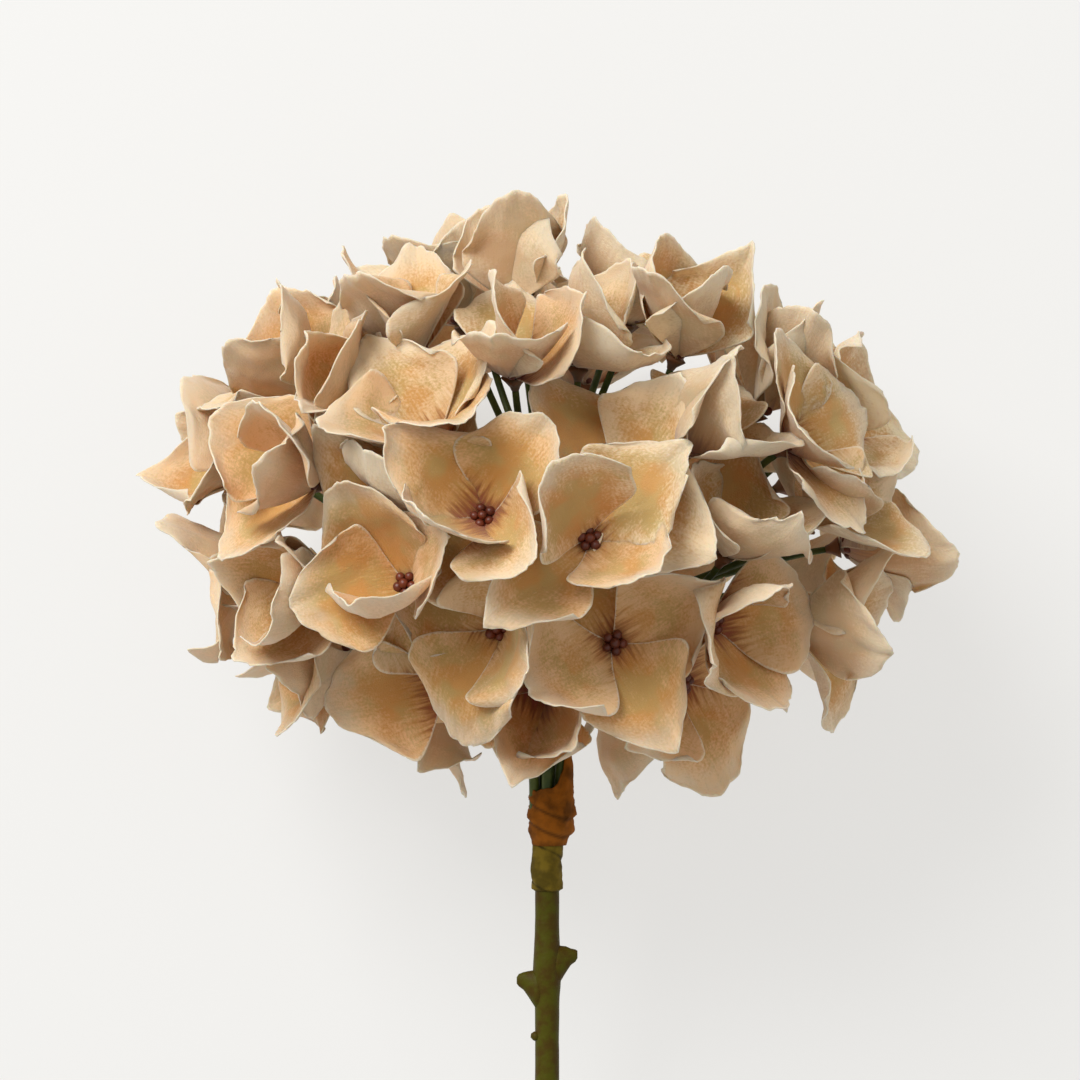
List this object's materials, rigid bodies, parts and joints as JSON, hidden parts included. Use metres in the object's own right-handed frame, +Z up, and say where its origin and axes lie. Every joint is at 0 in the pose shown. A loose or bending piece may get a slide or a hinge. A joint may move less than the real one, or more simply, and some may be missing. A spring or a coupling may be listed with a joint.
{
  "type": "silk hydrangea stem",
  "caption": "Cut silk hydrangea lying on its side: a rounded head of four-petalled cloth florets on moulded sprays, with a wrapped neck and a plain wired stem",
  "frame": {"origin": "middle of the bounding box in plan, at the level of the table the flower lies on", "axes": "+Y runs along the stem towards the head, +Z is up from the table and is the side of the head that faces the viewer, +X is to the viewer's right"},
  "size_m": [0.186, 0.4678, 0.149],
  "materials": {
    "cloth": "matte",
    "spray": "satin",
    "bract": "matte",
    "tape": "matte",
    "stem": "satin",
    "steel": "satin"
  },
  "bodies": {
    "root": {"bract_wrap": "bract", "floret_01": "cloth", "floret_02": "cloth", "floret_03": "cloth", "floret_04": "cloth", "floret_05": "cloth", "floret_06": "cloth", "floret_07": "cloth", "floret_08": "cloth", "floret_09": "cloth", "floret_10": "cloth", "floret_11": "cloth", "floret_12": "cloth", "floret_13": "cloth", "floret_14": "cloth", "floret_15": "cloth", "floret_16": "cloth", "floret_17": "cloth", "floret_18": "cloth", "floret_19": "cloth", "floret_20": "cloth", "floret_21": "cloth", "floret_22": "cloth", "floret_23": "cloth", "floret_24": "cloth", "floret_25": "cloth", "floret_26": "cloth", "floret_27": "cloth", "floret_28": "cloth", "floret_29": "cloth", "floret_30": "cloth", "floret_31": "cloth", "floret_32": "cloth", "floret_33": "cloth", "floret_34": "cloth", "floret_35": "cloth", "floret_36": "cloth", "floret_37": "cloth", "floret_38": "cloth", "floret_39": "cloth", "floret_40": "cloth", "floret_41": "cloth", "floret_42": "cloth", "floret_43": "cloth", "floret_44": "cloth", "floret_45": "cloth", "floret_46": "cloth", "floret_47": "cloth", "floret_48": "cloth", "floret_49": "cloth", "floret_50": "cloth", "main_stem": "stem", "spray_1": "spray", "spray_2": "spray", "spray_3": "spray", "spray_4": "spray", "spray_5": "spray", "spray_top": "spray", "stem_wire": "steel", "tape_wrap": "tape"}
  },
  "joints": []
}
